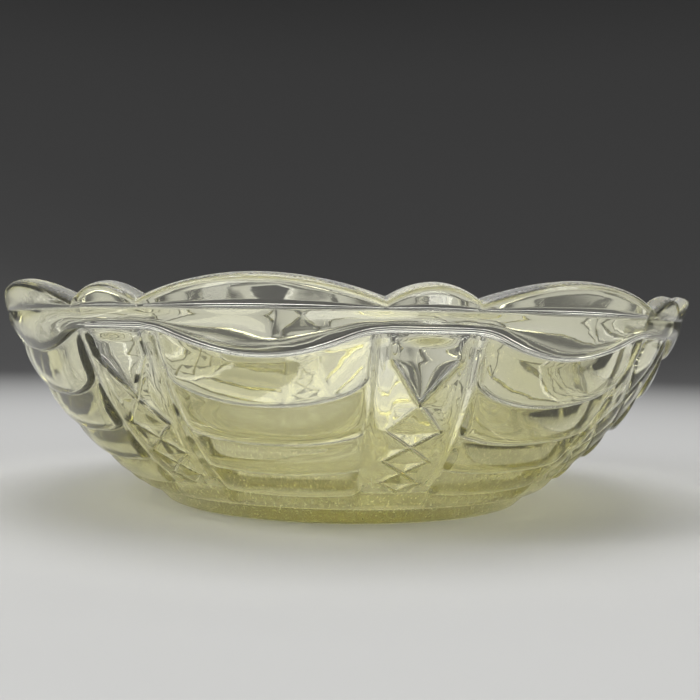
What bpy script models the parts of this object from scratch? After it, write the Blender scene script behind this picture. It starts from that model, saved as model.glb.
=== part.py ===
"""A pressed-glass bowl: eight draped panels between eight pairs of pillars with a diamond lattice.

The bowl is one body of glass, standing on its foot with its axis on +Z. The middle of a draped panel
faces -Y. Lengths are in metres. Angles are in degrees, measured round the axis from that middle.
"""

import math

import bpy
import numpy as np

# Overall sizes.
REPEATS = 8
RIM_RADIUS = 0.108
RIM_HEIGHT = 0.064
FOOT_RADIUS = 0.0562

# Outer wall curve: its lean from upright at both ends, and how far each lean is felt along the wall.
RIM_LEAN = 15.0
FOOT_LEAN = 58.0
RIM_REACH = 0.040
FOOT_REACH = 0.0155

# Glass thickness at the rim, above the foot and in the floor, and the hollow curve between wall and floor.
RIM_WALL = 0.0050
FOOT_WALL = 0.0062
FLOOR_THICKNESS = 0.0064
FLOOR_CURVE = 0.0080

# Scalloped rim: how far the notches and the small scallops lie below the large scallops.
NOTCH_DROP = 0.0056
SMALL_SCALLOP_DROP = 0.0018
RIM_CROWN = 0.0010

# Panel layout round the axis.
PANEL_EDGE_ANGLE = 15.0
PILLAR_ANGLE = 16.35
LATTICE_EDGE_ANGLE = 18.3

# A plain band under the notches, then the ledge: a swelling that hangs lower on the draped panels.
BAND_WIDTH = 0.0012
CREASE_DEPTH = 0.0004
LEDGE_WIDTH = 0.0054
LEDGE_SAG = 0.0068

# Tiers below the ledge: a swag on each draped panel, beside a tongue and then diamonds in the lattice.
TIERS = 4

# Swags that hang below the ledge, and how far their ends rise along the wall.
SWAG_RATIO = 0.91
SWAG_RISE = 0.0105
RISE_RATIO = 0.6
STEP_DEPTH = 0.0019
LIP_ROLL = 0.0003
SWELL = 0.0007

# Pillars, and the valley between a pillar and the ends of the swags.
PILLAR_DEPTH = 0.0002
VALLEY_DEPTH = 0.0013

# Diamond lattice between two pillars, hanging from a tongue below the ledge.
TONGUE_LENGTH = 0.0200
DIAMOND_RATIO = 0.9
GROOVE_DEPTH = 0.0019
PEAK_DEPTH = 0.0004

# Below the tiers, a plain ring all round, and below that the plain side of the foot.
RING_BAND = 0.0097
FOOT_BAND = 0.0065
FOOT_STEP = 0.0010

# Underside: a flat ring to stand on, round a shallow recess.
FOOT_ROUND = 0.0012
RING_WIDTH = 0.0065
RECESS_DEPTH = 0.0012
RECESS_SLOPE = 0.0020

# Mesh fineness. A tier takes four rows, as many as a diamond's grooves need to cross two columns each way.
WIDE_COLUMNS = 6
INNER_ROWS = 6
TIER_ROWS = 4
RING_ROWS = 3
CURVE_SAMPLES = 400
WELD_DISTANCE = 0.00001

HALF_SECTOR = 180.0 / REPEATS


class Wall:
    """The outer wall's curve from the rim down to the foot, measured along its length."""

    def __init__(self):
        rim = np.array([RIM_RADIUS, RIM_HEIGHT])
        foot = np.array([FOOT_RADIUS, 0.0])
        rim_lean = math.radians(RIM_LEAN)
        foot_lean = math.radians(FOOT_LEAN)
        rim_handle = rim - RIM_REACH * np.array([math.sin(rim_lean), math.cos(rim_lean)])
        foot_handle = foot + FOOT_REACH * np.array([math.sin(foot_lean), math.cos(foot_lean)])
        t = np.linspace(0.0, 1.0, CURVE_SAMPLES)[:, None]
        self.points = (
            (1 - t) ** 3 * rim
            + 3 * (1 - t) ** 2 * t * rim_handle
            + 3 * (1 - t) * t**2 * foot_handle
            + t**3 * foot
        )
        steps = np.linalg.norm(np.diff(self.points, axis=0), axis=1)
        self.lengths = np.concatenate([[0.0], np.cumsum(steps)])
        self.length = self.lengths[-1]
        self.tangents = np.gradient(self.points, self.lengths, axis=0)

    def on_curve(self, table, along):
        return [np.interp(along, self.lengths, table[:, axis]) for axis in (0, 1)]

    def at(self, along, depth):
        """Radius and height of a point this far down the wall and this deep below its outer curve."""
        radius, height = self.on_curve(self.points, along)
        outward, upward = self.on_curve(self.tangents, along)
        above_rim = np.minimum(along, 0.0)
        return (
            radius + depth * upward + above_rim * outward,
            height - depth * outward + above_rim * upward,
        )

    def lean(self, along):
        """Angle of the wall from upright, in radians."""
        outward, upward = self.on_curve(self.tangents, along)
        return math.atan2(-outward, -upward)

    def thickness(self, along):
        return RIM_WALL + (FOOT_WALL - RIM_WALL) * along / self.length


def shrinking_steps(total, count, ratio):
    """Running sums of lengths that shrink by a ratio and together fill a total."""
    steps = ratio ** np.arange(count)
    return np.cumsum(steps) * total / steps.sum()


def rim_position(angle):
    """How far down the wall the scalloped rim lies: an arch over each panel."""
    if angle <= PILLAR_ANGLE:
        return NOTCH_DROP * (angle / PILLAR_ANGLE) ** 2
    share = (HALF_SECTOR - angle) / (HALF_SECTOR - PILLAR_ANGLE)
    return SMALL_SCALLOP_DROP + (NOTCH_DROP - SMALL_SCALLOP_DROP) * share**2


def lip_positions(wall, angle):
    """How far down the wall the lips of the ledge and of the swags below it lie."""
    share = min(angle / PANEL_EDGE_ANGLE, 1.0)
    lowest = NOTCH_DROP + BAND_WIDTH + LEDGE_WIDTH + LEDGE_SAG
    hung = lowest + shrinking_steps(wall.length - FOOT_BAND - RING_BAND - lowest, TIERS, SWAG_RATIO)
    rises = SWAG_RISE * RISE_RATIO ** np.arange(TIERS)
    return [lowest - LEDGE_SAG * share**2, *(hung - rises * (1.0 - math.sqrt(1.0 - share**2)))]


def inner_points(wall, angle):
    """The smooth inside, from the middle of the floor up to the crown of the rim."""
    lengths = wall.lengths
    heights = wall.at(lengths, wall.thickness(lengths))[1]
    floor_end = np.interp(-FLOOR_THICKNESS - FLOOR_CURVE / 4, -heights, lengths)
    rim = rim_position(angle)
    climb = np.linspace(floor_end, rim, INNER_ROWS)
    points = [wall.at(along, wall.thickness(along)) for along in climb]
    floor_radius = points[0][0] - FLOOR_CURVE
    crown = wall.at(rim - RIM_CROWN, RIM_WALL / 2)
    return [(0.0, FLOOR_THICKNESS), (floor_radius, FLOOR_THICKNESS), *points, crown]


def ledge_rows(angle, lip):
    """The plain band, its crease and the swelling face of the ledge, as pairs of length and depth."""
    rim = rim_position(angle)
    crease = NOTCH_DROP + BAND_WIDTH
    return [
        (rim, 0.0),
        ((rim + crease) / 2, 0.0),
        (crease, CREASE_DEPTH),
        ((crease + lip) / 2, (CREASE_DEPTH + LIP_ROLL) / 2 - SWELL),
        (lip, LIP_ROLL),
    ]


def rolled_rows(wall, lip, following, count):
    """Under a lip the wall steps in level, then rolls out in a low arch to the following lip."""
    under = lip + STEP_DEPTH * math.tan(wall.lean(lip))
    rows = []
    for share in np.linspace(0.0, 1.0, count):
        chord = STEP_DEPTH + (LIP_ROLL - STEP_DEPTH) * share
        rows.append((under + (following - under) * share, chord - 4 * SWELL * share * (1 - share)))
    return rows


def draped_rows(wall, lips):
    """The swags that hang one below another on a draped panel."""
    rows = []
    for lip, following in zip(lips, lips[1:]):
        rows += rolled_rows(wall, lip, following, TIER_ROWS)
    return rows


def foot_rows(wall, last_lip):
    """The plain ring under the last lip, then a step down to the side of the foot."""
    ring_end = wall.length - FOOT_BAND
    foot_top = ring_end + FOOT_STEP * math.tan(wall.lean(ring_end))
    return rolled_rows(wall, last_lip, ring_end, RING_ROWS) + [(foot_top, FOOT_STEP)]


def lattice_relief(row, column):
    """Height on the lattice, 0 in a groove and 1 on a peak. Columns count from its middle to its edge."""
    half = TIER_ROWS / 2
    falling = abs((row - column + half) % TIER_ROWS - half)
    rising = abs((row + column + half) % TIER_ROWS - half)
    return min(falling, rising) / half


def lattice_rows(wall, lip, end, column):
    """A tongue under the ledge, then diamonds between grooves that cross from side to side."""
    tongue = lip + TONGUE_LENGTH
    crossings = tongue + shrinking_steps(end - tongue, TIERS - 1, DIAMOND_RATIO)
    marks = [lip + STEP_DEPTH, tongue, *crossings]
    row_marks = TIER_ROWS * np.arange(len(marks))
    rows = [(marks[0], STEP_DEPTH)]
    for row in range(TIER_ROWS // 2, row_marks[-1] + 1):
        depth = GROOVE_DEPTH + (PEAK_DEPTH - GROOVE_DEPTH) * lattice_relief(row, column)
        rows.append((np.interp(row, row_marks, marks), depth))
    return rows


def underside_points(wall):
    """The rounded edge of the foot, the flat ring and the recess, ending on the axis."""
    ring_inside = FOOT_RADIUS - RING_WIDTH
    return [
        wall.at(wall.length - FOOT_ROUND, 0.0),
        (FOOT_RADIUS - FOOT_ROUND, 0.0),
        (ring_inside, 0.0),
        (ring_inside - RECESS_SLOPE, RECESS_DEPTH),
        (0.0, RECESS_DEPTH),
    ]


def sections(wall):
    """Angle, outline and depths of each section plane, from mid panel to mid lattice."""
    wide = PANEL_EDGE_ANGLE * np.sin(np.linspace(0.0, math.pi / 2, WIDE_COLUMNS + 1))
    edge_lips = lip_positions(wall, PANEL_EDGE_ANGLE)
    edge_rows = draped_rows(wall, edge_lips)
    planes = []
    for angle in wide[:-1]:
        lips = lip_positions(wall, angle)
        planes.append((angle, lips, draped_rows(wall, lips)))
    planes.append((PANEL_EDGE_ANGLE, edge_lips, [(along, VALLEY_DEPTH) for along, _ in edge_rows]))
    lattice_angles = np.linspace(HALF_SECTOR, LATTICE_EDGE_ANGLE, TIER_ROWS // 2 + 1)
    lattices = [
        lattice_rows(wall, edge_lips[0], edge_lips[-1], column)
        for column in range(len(lattice_angles))
    ]
    between = [(a[0] + b[0]) / 2 for a, b in zip(edge_rows, lattices[-1])]
    pillar = [(along, PILLAR_DEPTH) for along in between]
    pillar[0] = (between[0], STEP_DEPTH)
    planes.append((PILLAR_ANGLE, edge_lips, pillar))
    for angle, rows in reversed(list(zip(lattice_angles, lattices))):
        planes.append((angle, edge_lips, rows))
    made = []
    for angle, lips, tiers in planes:
        inner = inner_points(wall, angle)
        rows = ledge_rows(angle, lips[0]) + tiers + foot_rows(wall, lips[-1])
        under = underside_points(wall)
        outline = inner + [wall.at(along, depth) for along, depth in rows] + under
        depths = [0.0] * len(inner) + [depth for _, depth in rows] + [0.0] * len(under)
        made.append((angle, outline, depths))
    return made


def half_sector_mesh(wall):
    """Half of one repeat, lofted between its sections. Each cell is split along its deeper diagonal."""
    vertices = []
    depths = []
    for angle, outline, section_depths in sections(wall):
        turn = math.radians(angle)
        vertices += [(r * math.sin(turn), -r * math.cos(turn), z) for r, z in outline]
        depths += section_depths
    rows = len(outline)
    faces = []
    for a in range(len(vertices) - rows):
        if a % rows == rows - 1:
            continue
        b, c, d = a + 1, a + rows + 1, a + rows
        if depths[a] + depths[c] >= depths[b] + depths[d]:
            faces += [(a, b, c), (a, c, d)]
        else:
            faces += [(a, b, d), (b, c, d)]
    mesh = bpy.data.meshes.new("bowl")
    mesh.from_pydata(vertices, [], faces)
    return mesh


def glass():
    """Clear glass with a faint straw tint."""
    material = bpy.data.materials.new("straw_glass")
    material.use_nodes = True
    shader = material.node_tree.nodes["Principled BSDF"]
    shader.inputs["Base Color"].default_value = (0.90, 0.89, 0.66, 1.0)
    shader.inputs["Metallic"].default_value = 0.0
    shader.inputs["Roughness"].default_value = 0.03
    shader.inputs["IOR"].default_value = 1.52
    shader.inputs["Transmission Weight"].default_value = 1.0
    return material


def build():
    for obj in list(bpy.data.objects):
        bpy.data.objects.remove(obj, do_unlink=True)
    collection = bpy.data.collections.new("decorative_bowl")
    bpy.context.scene.collection.children.link(collection)

    mesh = half_sector_mesh(Wall())
    mesh.materials.append(glass())
    bowl = bpy.data.objects.new("bowl", mesh)
    turn = bpy.data.objects.new("one_repeat_turn", None)
    turn.rotation_euler.z = math.radians(2 * HALF_SECTOR)
    collection.objects.link(bowl)
    collection.objects.link(turn)

    mirror = bowl.modifiers.new("whole_repeat", "MIRROR")
    mirror.use_mirror_merge = False
    ring = bowl.modifiers.new("repeats_round_the_axis", "ARRAY")
    ring.use_relative_offset = False
    ring.use_object_offset = True
    ring.offset_object = turn
    ring.count = REPEATS
    ring.use_merge_vertices = False
    weld = bowl.modifiers.new("one_body", "WELD")
    weld.merge_threshold = WELD_DISTANCE
    mesh.shade_smooth()
    mesh.set_sharp_from_angle(angle=math.radians(30))


build()
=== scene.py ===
import math

import bpy
import numpy as np
from mathutils import Matrix, Vector


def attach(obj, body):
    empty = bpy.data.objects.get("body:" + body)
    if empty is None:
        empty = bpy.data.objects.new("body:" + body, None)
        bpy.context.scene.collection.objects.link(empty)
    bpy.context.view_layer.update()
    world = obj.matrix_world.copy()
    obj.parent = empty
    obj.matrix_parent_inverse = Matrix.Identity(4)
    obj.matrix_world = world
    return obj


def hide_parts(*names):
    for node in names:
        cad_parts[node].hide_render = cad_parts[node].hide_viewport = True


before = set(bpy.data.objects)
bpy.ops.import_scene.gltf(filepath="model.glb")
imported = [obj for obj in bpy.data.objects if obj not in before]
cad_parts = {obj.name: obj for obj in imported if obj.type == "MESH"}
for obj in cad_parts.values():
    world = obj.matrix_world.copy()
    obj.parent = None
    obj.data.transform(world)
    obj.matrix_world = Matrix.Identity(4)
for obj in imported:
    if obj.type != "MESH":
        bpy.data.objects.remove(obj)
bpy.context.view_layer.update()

# The wall: one body of pressed glass that flares up from a round foot to a scalloped rim.
# Everything on it is placed by its way down the wall from the rim and its depth below this outer curve.
# The pattern repeats eight times, and each repeat is its own mirror image about a draped panel's middle.
repeats = 8
half_repeat = 180.0 / repeats
rim_radius = 0.108
rim_height = 0.064
foot_radius = 0.0562
rim_lean = math.radians(15.0)
foot_lean = math.radians(58.0)
rim_pull = 0.040
foot_pull = 0.0155
rim_thickness = 0.0050
foot_thickness = 0.0062
curve_marks = 2000

rim_end = np.array([rim_radius, rim_height])
foot_end = np.array([foot_radius, 0.0])
rim_handle = rim_end - rim_pull * np.array([math.sin(rim_lean), math.cos(rim_lean)])
foot_handle = foot_end + foot_pull * np.array([math.sin(foot_lean), math.cos(foot_lean)])
along = np.linspace(0.0, 1.0, curve_marks)[:, None]
wall_curve = (
    (1 - along) ** 3 * rim_end
    + 3 * (1 - along) ** 2 * along * rim_handle
    + 3 * (1 - along) * along**2 * foot_handle
    + along**3 * foot_end
)
way_marks = np.concatenate([[0.0], np.cumsum(np.linalg.norm(np.diff(wall_curve, axis=0), axis=1))])
wall_slope = np.gradient(wall_curve, way_marks, axis=0)
wall_length = way_marks[-1]


def on_wall(way, depth):
    """Radius and height of points this far down the wall and this deep below its outer curve."""
    radius = np.interp(way, way_marks, wall_curve[:, 0])
    height = np.interp(way, way_marks, wall_curve[:, 1])
    out = np.interp(way, way_marks, wall_slope[:, 0])
    up = np.interp(way, way_marks, wall_slope[:, 1])
    over = np.minimum(way, 0.0)
    return radius + depth * up + over * out, height - depth * out + over * up


def level_run(way):
    """How far down the wall a level cut runs for each unit of depth."""
    out = np.interp(way, way_marks, wall_slope[:, 0])
    up = np.interp(way, way_marks, wall_slope[:, 1])
    return out / up


def blend(a, b, share):
    return a + (b - a) * share


def ease(share):
    share = np.clip(share, 0.0, 1.0)
    return share * share * (3.0 - 2.0 * share)


# Lines round the bowl, from the middle of a draped panel over a pillar to the middle of a lattice.
# The lattice is widest at the top, where a tongue of glass spreads under the ledge, and narrows downward.
# The pillar leans after the lattice's edge. All of it is cut into the same mould.
panel_edge = 15.0
pillar_line = 16.35
lattice_edge = 17.8
tongue_flare = 0.4
lattice_taper = 1.25
pillar_lean = 0.4
panel_lines = 16
outer_pillar_lines = 4
inner_pillar_lines = 5
lattice_cells = 10

panel_share = np.sin(np.linspace(0.0, math.pi / 2, panel_lines))
outer_pillar = np.arange(1, outer_pillar_lines + 1) / outer_pillar_lines
inner_pillar = np.arange(1, inner_pillar_lines + 1) / inner_pillar_lines
lattice_step = np.arange(lattice_cells - 1, -1, -1.0)
first_pillar = panel_lines
first_lattice = panel_lines + outer_pillar_lines + inner_pillar_lines
line_count = first_lattice + lattice_cells


def line_angles(edge):
    """Angle of every line where the lattice's edge lies at this angle, with the pillar leaning after it."""
    crest = pillar_line + pillar_lean * (edge - lattice_edge + tongue_flare)
    return np.concatenate(
        [
            panel_edge * panel_share,
            blend(panel_edge, crest, outer_pillar),
            blend(crest, edge, inner_pillar),
            blend(half_repeat, edge, lattice_step / lattice_cells),
        ]
    )


top_angles = line_angles(lattice_edge - tongue_flare)
low_angles = line_angles(lattice_edge + lattice_taper)

# The rim: a fire-polished edge with one wide and one narrow scallop in each repeat, meeting in notches.
# It is a rounded nose from the inner face over to the outer face.
notch_drop = 0.0056
small_scallop_drop = 0.0018
rim_crown = 0.0010
nose_shoulder = 0.0006
nose_fullness = 2.6
nose_rows = 10
rim_wear = 0.9
wide_arch = notch_drop * (top_angles / pillar_line) ** 2
small_share = (half_repeat - top_angles) / (half_repeat - pillar_line)
small_arch = blend(small_scallop_drop, notch_drop, small_share**2)
rim_way = np.where(top_angles <= pillar_line, wide_arch, small_arch)
rim_shoulder = rim_way + nose_shoulder

rows = []


def lay(way, depth, wear, angles=top_angles):
    """Adds one row of points round the half repeat."""
    way, depth, wear, angles = (np.broadcast_to(part, line_count) for part in (way, depth, wear, angles))
    radius, height = on_wall(way, depth)
    rows.append((radius, height, angles, depth, wear))


def lay_flat(radius, height, wear):
    """Adds one level row of points, for the floor and the underside."""
    parts = (radius, height, low_angles, 0.0, wear)
    rows.append(tuple(np.broadcast_to(part, line_count) for part in parts))


# The inside: smooth, pressed by a plain plunger, with a hollow curve between the floor and the wall.
# Years of use have left it a little hazy, most of all on the floor.
# Its rows run from the middle of the floor up to the rim and over the rim's nose.
floor_thickness = 0.0064
floor_curve = 0.0080
inner_lift = floor_curve / 4
floor_rings = 5
bend_rows = 5
inner_rows = 12
floor_wear = 0.3
inner_wear = 0.06
wall_thickness = blend(rim_thickness, foot_thickness, way_marks / wall_length)
inner_height = on_wall(way_marks, wall_thickness)[1]
inner_foot = np.interp(-floor_thickness - inner_lift, -inner_height, way_marks)
inner_radius, inner_top = on_wall(inner_foot, np.interp(inner_foot, way_marks, wall_thickness))
floor_radius = inner_radius - floor_curve
bend_radius = inner_radius - inner_lift * level_run(inner_foot)


def rounded(before, corner, after, share):
    """A point on the curve that rounds a corner off."""
    near = (1 - share) ** 2
    middle = 2 * share * (1 - share)
    far = share**2
    return tuple(near * a + middle * b + far * c for a, b, c in zip(before, corner, after))


floor_edge = (floor_radius, floor_thickness)
floor_corner = (bend_radius, floor_thickness)
inner_edge = (inner_radius, inner_top)
for radius in np.linspace(0.0, floor_radius, floor_rings):
    lay_flat(radius, floor_thickness, floor_wear)
for share in np.linspace(0.0, 1.0, bend_rows + 2)[1:-1]:
    lay_flat(*rounded(floor_edge, floor_corner, inner_edge, share), blend(floor_wear, inner_wear, share))
for share in np.linspace(0.0, 1.0, inner_rows):
    way = blend(inner_foot, rim_shoulder, share)
    lay(way, blend(rim_thickness, foot_thickness, way / wall_length), inner_wear)
for turn in np.linspace(0.0, math.pi, nose_rows + 1)[1:]:
    across = math.copysign(abs(math.cos(turn)) ** (2 / nose_fullness), math.cos(turn))
    rise = abs(math.sin(turn)) ** (2 / nose_fullness)
    way = rim_shoulder - (nose_shoulder + rim_crown) * rise
    lay(way, rim_thickness * (1 + across) / 2, rim_wear * rise**2)

# The ledge: a plain band under the rim, a soft crease, and a swelling whose lip hangs lower on the panels.
# Its lip overhangs the pattern, with a rounded edge and a level underside as the mould leaves it.
band_width = 0.0012
band_least = 0.4
crease_depth = 0.0004
crease_round = 0.0007
ledge_width = 0.0054
ledge_sag = 0.0068
sag_pull = 1.07
sag_turn = 0.80
swell = 0.0007
ledge_rows = 9
lip_depth = 0.0003
lip_round = 0.0010
lip_wear = 0.12
lip_wear_shares = np.array([0.5, 1.0, 0.5])
step_depth = 0.0019
least_step = 0.0002
corner_round = 0.00045
most_rounding = 0.45
valley_depth = 0.0017
valley_start = 0.95
low_valley_depth = 0.0012
low_valley_start = 0.90
pillar_cut = 0.0012
halves = (0.5, 1.0)
thirds = (1 / 3, 2 / 3, 1.0)
quarters = (0.25, 0.5, 0.75, 1.0)
crease = notch_drop + band_width
ledge_low = crease + ledge_width + ledge_sag
sag_slope = 2 * sag_pull * sag_turn
levelling = 2 * (1 - sag_pull * sag_turn**2) / sag_slope
panel_place = top_angles / panel_edge
past_turn = np.clip(panel_place - sag_turn, 0.0, levelling)
middle_sag = sag_pull * np.minimum(panel_place, sag_turn) ** 2
end_sag = sag_slope * past_turn * (1 - past_turn / levelling / 2)
ledge_lip = ledge_low - ledge_sag * (middle_sag + end_sag)
beyond_panel = np.full(line_count - panel_lines, pillar_cut)
beyond_panel[:outer_pillar_lines] = blend(valley_depth, pillar_cut, ease(outer_pillar))


def sink(depth, lowness):
    """Lets the panels' depth run into the valley at their edge, deep at the ledge and shallow at the foot."""
    start = blend(valley_start, low_valley_start, lowness)
    valley = blend(valley_depth, low_valley_depth, lowness)
    return blend(depth, valley, ease((panel_share - start) / (1 - start)))


ledge_cut = np.concatenate([sink(step_depth, 0.0), beyond_panel])


def arch(start, end, share):
    """A point on a low arch between two points of the wall, each a way and a depth."""
    way = blend(start[0], end[0], share)
    return way, blend(start[1], end[1], share) - 4 * swell * share * (1 - share)


def span(a, b):
    return np.hypot(b[0] - a[0], b[1] - a[1])


def toward(a, b, distance):
    """The point at this distance from a on the way to b, short of the middle."""
    share = np.minimum(distance / span(a, b), most_rounding)
    return blend(a[0], b[0], share), blend(a[1], b[1], share)


def below(lip, depth):
    """The inner corner of the level step under a lip."""
    drop = np.maximum(depth - lip[1], least_step)
    return lip[0] + drop * level_run(lip[0]), lip[1] + drop


def roll(start, lip, count, clear):
    """A roll of glass from just past a corner to where the next lip begins to round off."""
    first = clear / span(start, lip)
    last = 1 - lip_round / span(start, lip)
    return [arch(start, lip, blend(first, last, n / count)) for n in range(1, count + 1)]


def step(before, lip, under, following):
    """A lip's rounded edge, its level underside and the rounded corner below it."""
    after = toward(lip, under, lip_round)
    reach = toward(under, lip, corner_round)
    beyond = arch(under, following, corner_round / span(under, following))
    edge = [rounded(before, lip, after, share) for share in quarters]
    underside = [(blend(after[0], reach[0], share), blend(after[1], reach[1], share)) for share in halves]
    corner = [rounded(reach, under, beyond, share) for share in thirds]
    return edge + underside + corner


band_end = np.maximum(crease - crease_round, blend(rim_shoulder, crease, band_least))
band_foot = (band_end, np.zeros(line_count))
ledge_tip = (ledge_lip, np.full(line_count, lip_depth))
ledge_under = below(ledge_tip, ledge_cut)
ledge_top = (np.full(line_count, crease), np.full(line_count, crease_depth))
crease_after = arch(ledge_top, ledge_tip, crease_round / (ledge_lip - crease))
below_ledge = (ledge_under[0] + ledge_width, np.full(line_count, step_depth))
step_wear = np.zeros(len(quarters) + len(halves) + len(thirds))
step_wear[: len(lip_wear_shares)] = lip_wear_shares * lip_wear
for share in quarters:
    lay(blend(rim_shoulder, band_end, share), 0.0, 0.0)
for share in quarters:
    lay(*rounded(band_foot, ledge_top, crease_after, share), 0.0)
ledge_roll = roll(ledge_top, ledge_tip, ledge_rows, crease_round)
for way, depth in ledge_roll:
    lay(way, depth, 0.0)
for (way, depth), wear in zip(step(ledge_roll[-1], ledge_tip, ledge_under, below_ledge), step_wear):
    lay(way, depth, wear)

# The draped panels: four swags hang below the ledge, each rolled over the next one's top.
# They are pressed in the wall, and their ends sweep up and sink into a valley beside the pillars.
swag_count = 4
swag_ratio = 0.91
swag_rise = 0.0105
rise_ratio = 0.6
ring_band = 0.0072
foot_band = 0.0090
roll_rows = [15, 11, 11, 20]


def shrinking(total, count, ratio):
    """Marks along a total length, with each step this much shorter than the one before."""
    steps = ratio ** np.arange(count)
    return np.cumsum(steps) * total / steps.sum()


sweep = 1.0 - np.sqrt(1.0 - panel_share**2)
swag_low = ledge_low + shrinking(wall_length - foot_band - ring_band - ledge_low, swag_count, swag_ratio)
swag_lips = [low - swag_rise * rise_ratio**n * sweep for n, low in enumerate(swag_low)]
under = tuple(part[:panel_lines] for part in ledge_under)
panel_rows = []
panel_wear = []
for tier, count in enumerate(roll_rows):
    lip = (swag_lips[tier], np.full(panel_lines, lip_depth))
    swag = roll(under, lip, count, corner_round)
    panel_rows += swag
    panel_wear += [0.0] * count
    if tier < swag_count - 1:
        next_lip = (swag_lips[tier + 1], lip[1])
        under = below(lip, step_depth)
        panel_rows += step(swag[-1], lip, under, next_lip)
        panel_wear += list(step_wear)
edge_ways = np.array([way[-1] for way, _ in panel_rows])

# The lattice: a tongue of glass under the ledge, then three diamonds, each a low four-sided point.
# Narrow grooves cross from side to side between them and meet in the middle of the band.
# The mould cuts them smaller toward the foot, where the wall turns in.
tongue_length = 0.0200
tongue_waist = 0.38
tongue_depth = 0.0002
tongue_drop = 0.0013
tongue_fall = 1.4
shoulder_share = 0.26
diamond_ratio = 0.93
lattice_stop = 0.0006
point_depth = 0.0004
facet_drop = 0.0006
groove_drop = 0.00035
edge_relief = 0.35
edge_rise = 3
groove_wear = 1.0
ledge_edge = ledge_lip[-1]
ring_top = swag_lips[-1][-1]
lattice_end = ring_top - lattice_stop
tongue_tip = ledge_edge + tongue_length
tongue_middle = ledge_edge + tongue_length * tongue_waist
first_shoulder = blend(tongue_tip, lattice_end, shoulder_share)
half_diamonds = 2 * (swag_count - 1)
lower_halves = first_shoulder + shrinking(lattice_end - first_shoulder, half_diamonds - 1, diamond_ratio)
row_total = len(panel_rows)
tongue_row = row_total - 1 - lattice_cells * half_diamonds
lattice_ways = np.interp(
    np.arange(row_total),
    [-1, tongue_row - lattice_cells, *(tongue_row + lattice_cells * np.arange(half_diamonds + 1))],
    [ledge_under[0][-1] + corner_round, tongue_middle, tongue_tip, first_shoulder, *lower_halves],
)


def fold(value):
    """Distance in cells to the nearest of the grooves that lie one diamond apart."""
    return abs((value + lattice_cells) % (2 * lattice_cells) - lattice_cells)


def groove_distance(row, cell):
    """Distance in cells to the nearest groove, this many rows below the ledge and cells from the middle."""
    after = row - tongue_row
    if after < -lattice_cells:
        return lattice_cells - cell
    return min(fold(after - cell), fold(after + cell))


def lattice_depth(row, cell):
    """Depth on the lattice, at the same place."""
    after = row - tongue_row
    groove = groove_distance(row, cell)
    relief = groove / lattice_cells
    line = groove_drop * max(0.0, 1.0 - groove)
    if after <= -cell:
        reach = min(-after, lattice_cells)
        crown = (1 - reach / lattice_cells) ** tongue_fall
        return tongue_depth + tongue_drop * blend(crown, 1.0, (cell / max(reach, 1)) ** 2) + line
    border = blend(edge_relief, 1.0, (lattice_cells - cell) / lattice_cells * edge_rise)
    return point_depth + facet_drop * (1 - min(relief, border)) + line


# The pillars: plain rounded ribs that stand on both sides of each lattice, from the ledge to the ring.
# They are pressed with the panels, and the lines of the panels run over them into the lattice.
# Their crests and heels are the first places to rub.
pillar_depth = 0.0007
pillar_round = 2.3
valley_fade = 1.6
low_wear = 0.55
low_wear_gather = 3
crest_wear = 0.35
heel_wear = 0.6
heel_wear_gather = 8
join_length = 0.0035
pillar_place = np.concatenate([outer_pillar, 1 + inner_pillar]) / 2
for n, (way, depth) in enumerate(panel_rows):
    lowness = n / row_total
    above_waist = max(0.0, (tongue_middle - lattice_ways[n]) / (tongue_middle - ledge_edge))
    below_waist = max(0.0, (lattice_ways[n] - tongue_middle) / (lattice_end - tongue_middle))
    edge = lattice_edge - tongue_flare * above_waist**2 + lattice_taper * below_waist**2
    sunk = sink(depth, min(1.0, valley_fade * lowness))
    outer_side = blend(pillar_depth, sunk[-1], (1 - outer_pillar) ** pillar_round)
    inner_side = blend(pillar_depth, lattice_depth(n, lattice_cells), inner_pillar**pillar_round)
    cells = [lattice_depth(n, cell) for cell in lattice_step]
    beside = np.concatenate([outer_side, inner_side, cells])
    pillar_way = blend(edge_ways[n], lattice_ways[n], ease(pillar_place))
    way = np.concatenate([way, pillar_way, np.full(lattice_cells, lattice_ways[n])])
    joined = ease((way - ledge_under[0]) / join_length)[panel_lines:]
    depth = np.concatenate([sunk, blend(ledge_cut[panel_lines:], beside, joined)])
    wear = np.full(line_count, panel_wear[n] + low_wear * lowness**low_wear_gather)
    wear[first_lattice:] += [groove_wear * max(0.0, 1.0 - groove_distance(n, cell)) for cell in lattice_step]
    wear[first_pillar + outer_pillar_lines - 1] += crest_wear
    wear[first_pillar:first_lattice] += heel_wear * lowness**heel_wear_gather
    lay(way, depth, wear, line_angles(edge))
pattern_end = (way, depth)

# The foot: a plain rolled ring all round under the pattern, a small step, and the plain side of the foot.
# It stands on a flat ring about a shallow recess, scratched where it has stood on tables.
foot_step = 0.0014
foot_round = 0.0012
stand_width = 0.0065
recess_depth = 0.0012
recess_slope = 0.0020
ring_rows = 7
side_shares = (0.4, 0.7, 1.0)
recess_rows = 6
recess_rings = 3
ring_wear = 0.6
stand_wear = 1.2
recess_wear = 0.7
ring_line = np.concatenate([swag_lips[-1], np.full(line_count - panel_lines, ring_top)])
plain = np.full(line_count - panel_lines, pillar_depth)
ring_lip = (ring_line, np.concatenate([sink(lip_depth, 1.0), plain]))
ring_under = below(ring_lip, np.concatenate([sink(step_depth, 1.0), plain]))
ring_tip = (np.full(line_count, wall_length - foot_band), np.full(line_count, lip_depth))
foot_under = below(ring_tip, foot_step)
foot_side = (np.full(line_count, wall_length - foot_round), np.zeros(line_count))
for (way, depth), wear in zip(step(pattern_end, ring_lip, ring_under, ring_tip), step_wear):
    lay(way, depth, ring_wear + wear, low_angles)
ring_roll = roll(ring_under, ring_tip, ring_rows, corner_round)
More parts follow.
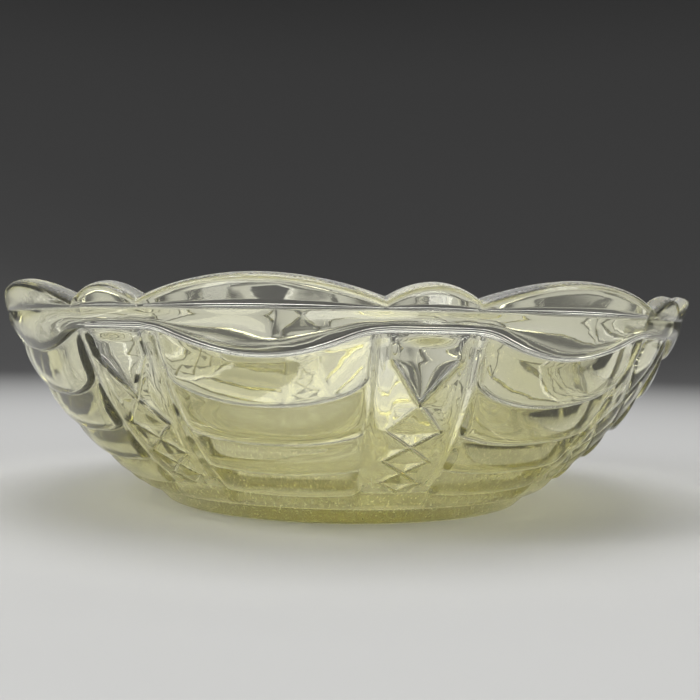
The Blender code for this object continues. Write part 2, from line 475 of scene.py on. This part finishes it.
for way, depth in ring_roll:
    lay(way, depth, ring_wear, low_angles)
for (way, depth), wear in zip(step(ring_roll[-1], ring_tip, foot_under, foot_side), step_wear):
    lay(way, depth, ring_wear + wear, low_angles)
step_end = (way, depth)
for share in side_shares:
    way = blend(step_end[0], foot_side[0], share)
    lay(way, blend(step_end[1], foot_side[1], share), ring_wear, low_angles)
stand_edge = on_wall(wall_length - foot_round, 0.0)
stand_corner = (foot_radius, 0.0)
stand_outside = foot_radius - foot_round
stand_inside = foot_radius - stand_width
recess_edge = stand_inside - recess_slope
for share in quarters:
    spot = rounded(stand_edge, stand_corner, (stand_outside, 0.0), share)
    lay_flat(*spot, blend(ring_wear, stand_wear, share))
lay_flat(blend(stand_outside, stand_inside, 0.5), 0.0, stand_wear)
for share in np.linspace(0.0, 1.0, recess_rows):
    wear = blend(stand_wear, recess_wear, share)
    lay_flat(stand_inside - recess_slope * share, recess_depth * ease(share), wear)
for radius in np.linspace(recess_edge, 0.0, recess_rings + 1)[1:]:
    lay_flat(radius, recess_depth, recess_wear)

# The whole body: the half repeat is mirrored and turned about the axis into one closed skin of glass.
# Each square of the skin is folded along its leveller diagonal, so that the grooves stay clean lines.
sharp_angle = math.radians(55.0)
half_turns = []
for half in range(2 * repeats):
    order = np.arange(line_count - 1)
    if half % 2:
        order = line_count - 1 - order
    radius, height, angle, depth, wear = (np.array(part)[:, order] for part in zip(*rows))
    angle = half_repeat - angle if half % 2 else angle
    half_turns.append((radius, height, np.radians(angle + half * half_repeat), depth, wear))
radius, height, angle, depth, wear = (np.concatenate(part, axis=1) for part in zip(*half_turns))
points = np.stack([radius * np.sin(angle), -radius * np.cos(angle), height], axis=-1)
numbers = np.arange(radius.size).reshape(radius.shape)
numbers[0] = numbers[0, 0]
numbers[-1] = numbers[-1, 0]
upper = numbers[:-1]
lower = numbers[1:]
upper_next = np.roll(upper, -1, axis=1)
lower_next = np.roll(lower, -1, axis=1)
next_depth = np.roll(depth, -1, axis=1)
falls = abs(depth[:-1] - next_depth[1:]) <= abs(depth[1:] - next_depth[:-1])
third = np.where(falls, lower_next, upper_next)
fourth = np.where(falls, upper, lower)
faces = np.concatenate(
    [
        np.stack([upper, lower, third], axis=-1).reshape(-1, 3),
        np.stack([fourth, lower_next, upper_next], axis=-1).reshape(-1, 3),
    ]
)
faces = faces[[len(set(face)) == 3 for face in faces.tolist()]]
used, faces = np.unique(faces, return_inverse=True)
bowl_mesh = bpy.data.meshes.new("glass_bowl")
bowl_mesh.from_pydata(points.reshape(-1, 3)[used], [], faces.reshape(-1, 3))
bowl_mesh.shade_smooth()
bowl_mesh.set_sharp_from_angle(angle=sharp_angle)
wear_layer = bowl_mesh.attributes.new("wear", "FLOAT", "POINT")
wear_layer.data.foreach_set("value", wear.ravel()[used].astype(np.float32))
bowl = bpy.data.objects.new("glass_bowl", bowl_mesh)
bpy.context.scene.collection.objects.link(bowl)
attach(bowl, "root")
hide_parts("bowl")

# The glass: clear soda-lime glass with a faint straw tint, which gathers toward the thick foot.
# The mould's chill leaves a slightly rippled skin, and the rim and the inside are fire-polished.
# Use has left frost, scuffs, drawn-out scratches and specks, where the body carries wear and low down.
clear = (1.0, 1.0, 1.0, 1.0)
straw = (1.0, 0.975, 0.68, 1.0)
straw_depths = (0.956, 0.912, 0.03, 1.0)
tint_density = 23.0
tint_top = 0.050
tint_even = 0.8
tint_cloudy = 0.4
pale_foot_heights = (0.014, 0.003)
pale_foot = 0.45
glass_bend = 1.52
chill_scale = 85.0
skin_scale = 400.0
scuff_scale = 1500.0
scratch_scale = 1600.0
scratch_stretch = (1.0, 1.0, 0.06)
scratch_range = (0.58, 0.70)
speck_scale = 330.0
speck_range = (0.12, 0.06)
ripple_height = 0.00006
skin_ripple = 0.12
scuff_ripple = 0.012
polish = 0.006
skin_dulling = 0.012
wear_dulling = 0.24
scuff_dulling = 0.20
clean_haze = 0.012
wear_haze = 0.08
scuff_haze = 0.18
scratch_haze = 0.35
speck_haze = 0.5
low_age = 0.35


class Finish:
    """A socket of a material that takes part in sums, so that a finish reads as a formula."""

    def __init__(self, tree, socket=None):
        self.tree = tree
        self.socket = socket

    def add(self, kind, settings, sockets, out=0):
        """A new node of this kind, with its settings first and then its sockets' values or links."""
        node = self.tree.nodes.new(kind)
        for name, value in settings.items():
            setattr(node, name, value)
        for name, value in sockets.items():
            if isinstance(value, Finish):
                self.tree.links.new(value.socket, node.inputs[name])
            else:
                node.inputs[name].default_value = value
        return Finish(self.tree, node.outputs[out] if node.outputs else None)

    def sum(self, operation, a, b):
        return self.add("ShaderNodeMath", {"operation": operation}, {0: a, 1: b})

    def noise(self, scale, detail):
        """Cloudy noise at this place."""
        return self.add("ShaderNodeTexNoise", {}, {"Vector": self, "Scale": scale, "Detail": detail})

    def rising(self, start, end, curve="LINEAR"):
        """From nothing at one value to all at another, whichever of them is the lower."""
        low, high = sorted((start, end))
        share = (0.0, 1.0) if start < end else (1.0, 0.0)
        sockets = {"Value": self, "From Min": low, "From Max": high, "To Min": share[0], "To Max": share[1]}
        return self.add("ShaderNodeMapRange", {"interpolation_type": curve}, sockets)

    def between(self, first, second):
        """The colour this far from the first to the second."""
        return self.add("ShaderNodeMix", {"data_type": "RGBA"}, {"Factor": self, 6: first, 7: second}, 2)

    def __add__(self, other):
        return self.sum("ADD", self, other)

    def __mul__(self, other):
        return self.sum("MULTIPLY", self, other)

    def __rsub__(self, other):
        return self.sum("SUBTRACT", other, self)

    __radd__ = __add__
    __rmul__ = __mul__


straw_glass = bpy.data.materials.new("straw_glass")
straw_glass.use_nodes = True
straw_glass.node_tree.nodes.clear()
glass = Finish(straw_glass.node_tree)
place = glass.add("ShaderNodeTexCoord", {}, {}, "Object")
worn = glass.add("ShaderNodeAttribute", {"attribute_name": "wear"}, {}, "Fac")
above_table = glass.add("ShaderNodeSeparateXYZ", {}, {"Vector": place}, "Z")
chill = place.noise(chill_scale, 1.0)
skin = place.noise(skin_scale, 1.0)
scuffs = place.noise(scuff_scale, 3.0)
drawn_out = glass.add("ShaderNodeVectorMath", {"operation": "MULTIPLY"}, {0: place, 1: scratch_stretch})
scratches = drawn_out.noise(scratch_scale, 2.0).rising(*scratch_range)
seeds = glass.add("ShaderNodeTexVoronoi", {}, {"Vector": place, "Scale": speck_scale}, "Distance")
specks = seeds.rising(*speck_range)
low = above_table.rising(tint_top, 0.0, "SMOOTHSTEP")
foot = above_table.rising(*pale_foot_heights, "SMOOTHSTEP")
tinted = low * (tint_even + tint_cloudy * chill) * (1 - pale_foot * foot)
colour = tinted.between(clear, straw)
surface = chill + skin_ripple * skin + scuff_ripple * (worn * scuffs)
ripple = glass.add("ShaderNodeBump", {}, {"Strength": 1.0, "Distance": ripple_height, "Height": surface})
dullness = polish + skin_dulling * skin + worn * (wear_dulling + scuff_dulling * scuffs)
body = glass.add(
    "ShaderNodeBsdfPrincipled",
    {},
    {
        "Base Color": colour,
        "Roughness": dullness,
        "IOR": glass_bend,
        "Transmission Weight": 1.0,
        "Normal": ripple,
    },
)
frost = glass.add(
    "ShaderNodeBsdfPrincipled", {}, {"Base Color": colour, "Roughness": 1.0, "Specular IOR Level": 0.0}
)
rubbed = worn * (wear_haze + scuff_haze * scuffs)
marked = (worn + low_age * low) * (scratch_haze * scratches + speck_haze * specks)
haze = clean_haze + rubbed + marked
bloomed = glass.add("ShaderNodeMixShader", {}, {0: haze, 1: body, 2: frost})
tint = glass.add("ShaderNodeVolumeAbsorption", {}, {"Color": straw_depths, "Density": tint_density})
glass.add("ShaderNodeOutputMaterial", {}, {"Surface": bloomed, "Volume": tint})
bowl_mesh.materials.append(straw_glass)

# The studio: a pale paper floor that curves up into a backdrop all round.
# The paper's colour carries painted light: it is palest about the bowl as a painted pool of light, and
# painted shade takes it down to a dim grey with distance and height.
floor_reach = 1.3
floor_ring_shares = (0.2, 0.6)
cove_radius = 0.9
cove_wall = 0.7
cove_steps = 13
cove_sides = 96
floor_gap = 0.0002
pale_grey = (0.55, 0.55, 0.54, 1.0)
# The two dim greys are painted shade, for paper far from the bowl and high on the backdrop.
painted_falloff_grey = (0.12, 0.12, 0.12, 1.0)
painted_high_shade_grey = (0.08, 0.08, 0.08, 1.0)
level = (1.0, 1.0, 0.0)
painted_falloff_reach = (0.35, 1.3)
painted_shade_heights = (0.7, 1.1)
paper_dullness = 0.85
cove_outline = [(floor_reach * share, 0.0) for share in floor_ring_shares]
for turn in np.linspace(0.0, math.pi / 2, cove_steps):
    cove_outline.append((floor_reach + cove_radius * math.sin(turn), cove_radius * (1 - math.cos(turn))))
cove_outline.append((floor_reach + cove_radius, cove_radius + cove_wall))
cove_turns = np.linspace(0.0, 2 * math.pi, cove_sides, endpoint=False)
cove_points = [(r * math.cos(a), r * math.sin(a), z) for r, z in cove_outline for a in cove_turns]
cove_middle = len(cove_points)
cove_points.append((0.0, 0.0, 0.0))
cove_faces = []
for side in range(cove_sides):
    following = (side + 1) % cove_sides
    cove_faces.append((cove_middle, side, following))
    for ring in range(len(cove_outline) - 1):
        near = ring * cove_sides
        far = near + cove_sides
        cove_faces.append((far + side, far + following, near + following, near + side))
cove_mesh = bpy.data.meshes.new("studio_cove")
cove_mesh.from_pydata(cove_points, [], cove_faces)
cove_mesh.shade_smooth()
cove = bpy.data.objects.new("studio_cove", cove_mesh)
cove.location.z = -floor_gap
bpy.context.scene.collection.objects.link(cove)
paper_finish = bpy.data.materials.new("pale_paper_painted_falloff")
paper_finish.use_nodes = True
paper_finish.node_tree.nodes.clear()
paper = Finish(paper_finish.node_tree)
paper_place = paper.add("ShaderNodeTexCoord", {}, {}, "Object")
paper_plan = paper.add("ShaderNodeVectorMath", {"operation": "MULTIPLY"}, {0: paper_place, 1: level})
paper_reach = paper.add("ShaderNodeVectorMath", {"operation": "LENGTH"}, {0: paper_plan}, "Value")
paper_height = paper.add("ShaderNodeSeparateXYZ", {}, {"Vector": paper_place}, "Z")
# Painted falloff: the floor darkens away from the bowl and the backdrop darkens upward, painted shade in
# place of light falling off.
floor_with_painted_falloff = paper_reach.rising(*painted_falloff_reach, "SMOOTHSTEP").between(pale_grey, painted_falloff_grey)
paper_with_painted_shade = paper_height.rising(*painted_shade_heights, "SMOOTHSTEP").between(floor_with_painted_falloff, painted_high_shade_grey)
paper_sockets = {"Base Color": paper_with_painted_shade, "Roughness": paper_dullness}
paper_skin = paper.add("ShaderNodeBsdfPrincipled", {}, paper_sockets)
paper.add("ShaderNodeOutputMaterial", {}, {"Surface": paper_skin})
cove_mesh.materials.append(paper_finish)

# The lamps: soft boxes over and beside the bowl in a dim room, and a small one for sparkle.
# Thin strips behind draw fine bright lines along the crease, the ledge and the lips of the swags.
# Each has its place, its width, its height and its power.
lamp_aim = Vector((0.0, 0.0, 0.03))
room_grey = (0.5, 0.5, 0.5, 1.0)
room_strength = 0.3
soft_boxes = {
    "top_box": ((0.0, -0.10, 1.35), 0.9, 0.9, 11.0),
    "key_box": ((-1.00, -0.90, 0.80), 0.7, 0.7, 9.5),
    "spark_box": ((-0.55, -0.75, 1.05), 0.16, 0.16, 2.0),
    "back_strip": ((0.0, 1.30, 1.05), 2.2, 0.06, 1.5),
    "lip_strip": ((0.0, 1.50, 0.27), 1.8, 0.012, 0.2),
    "crease_strip": ((0.0, 1.50, 0.46), 2.2, 0.03, 0.5),
    "low_strip": ((0.0, 1.40, 0.70), 2.2, 0.05, 1.3),
    "high_strip": ((0.0, 1.00, 1.45), 2.2, 0.05, 1.3),
    "side_box": ((1.15, -0.35, 0.55), 0.4, 0.9, 5.0),
}
for name, (lamp_place, lamp_width, lamp_height, power) in soft_boxes.items():
    lamp = bpy.data.lights.new(name, "AREA")
    lamp.shape = "RECTANGLE"
    lamp.size = lamp_width
    lamp.size_y = lamp_height
    lamp.energy = power
    box = bpy.data.objects.new(name, lamp)
    box.location = lamp_place
    box.rotation_euler = (lamp_aim - box.location).to_track_quat("-Z", "Y").to_euler()
    box.visible_camera = False
    bpy.context.scene.collection.objects.link(box)
room = bpy.data.worlds.new("room")
room.use_nodes = True
room_light = room.node_tree.nodes["Background"]
room_light.inputs["Color"].default_value = room_grey
room_light.inputs["Strength"].default_value = room_strength
bpy.context.scene.world = room

# The camera: level, a little below the rim, and turned so that a draped panel lies left of the middle.
# Its lens and shift are in pixels of a picture this wide, and it is rolled a little.
picture_width = 700
lens_pixels = 975.6
shift_across = 5.2
shift_up = -6.8
film_width = 36.0
camera_distance = 0.3242
camera_height = 0.0498
camera_turn = math.radians(11.4)
camera_roll = math.radians(1.02)
lens = bpy.data.cameras.new("camera")
lens.sensor_width = film_width
lens.lens = lens_pixels / picture_width * film_width
lens.shift_x = shift_across / picture_width
lens.shift_y = shift_up / picture_width
camera = bpy.data.objects.new("camera", lens)
camera_side = camera_distance * math.sin(camera_turn)
camera_back = camera_distance * math.cos(camera_turn)
camera.matrix_world = (
    Matrix.Translation((camera_side, -camera_back, camera_height))
    @ Matrix.Rotation(camera_turn, 4, "Z")
    @ Matrix.Rotation(math.pi / 2, 4, "X")
    @ Matrix.Rotation(camera_roll, 4, "Z")
)
bpy.context.scene.collection.objects.link(camera)
bpy.context.scene.camera = camera
bpy.context.scene.view_settings.view_transform = "Standard"

bpy.context.view_layer.update()
